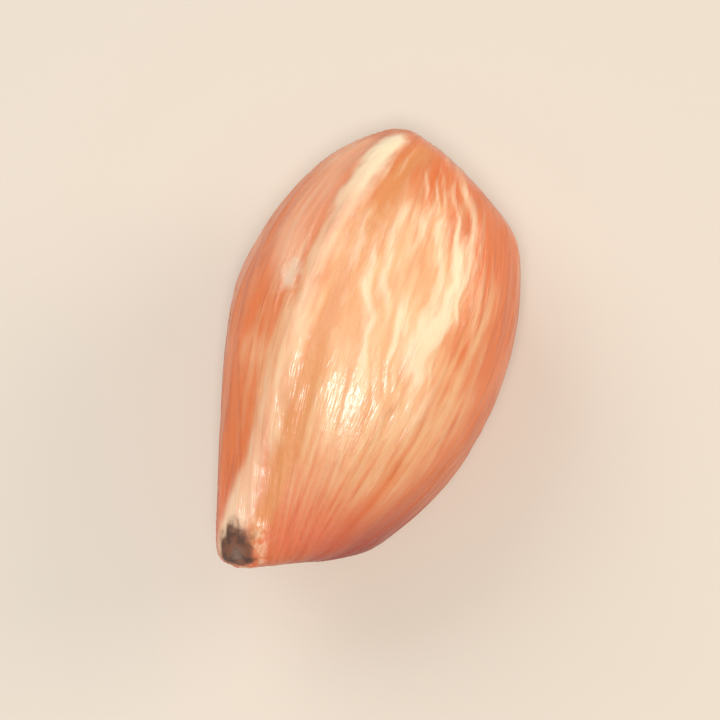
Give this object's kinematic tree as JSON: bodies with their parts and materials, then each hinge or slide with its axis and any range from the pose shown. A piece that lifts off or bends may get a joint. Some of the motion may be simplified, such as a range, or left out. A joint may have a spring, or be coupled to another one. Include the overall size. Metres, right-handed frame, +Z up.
{
  "type": "shelled peanut kernel",
  "caption": "Shelled peanut kernel in its papery skin: an egg-shaped seed with an off-centre beak, an oblique flat on its blunt end, a low raphe ridge and a flattened underside to lie on.",
  "frame": {"origin": "on the level of the flattened underside, under the middle of the kernel's bounding box", "axes": "+X runs along the kernel from the beak to the blunt end, +Y towards the side that the beak leans to and the raphe lies on, +Z up from the face that the kernel rests on"},
  "size_m": [0.017, 0.01, 0.009],
  "materials": {
    "seed_skin": "satin"
  },
  "bodies": {
    "root": {"kernel": "seed_skin"}
  },
  "joints": []
}
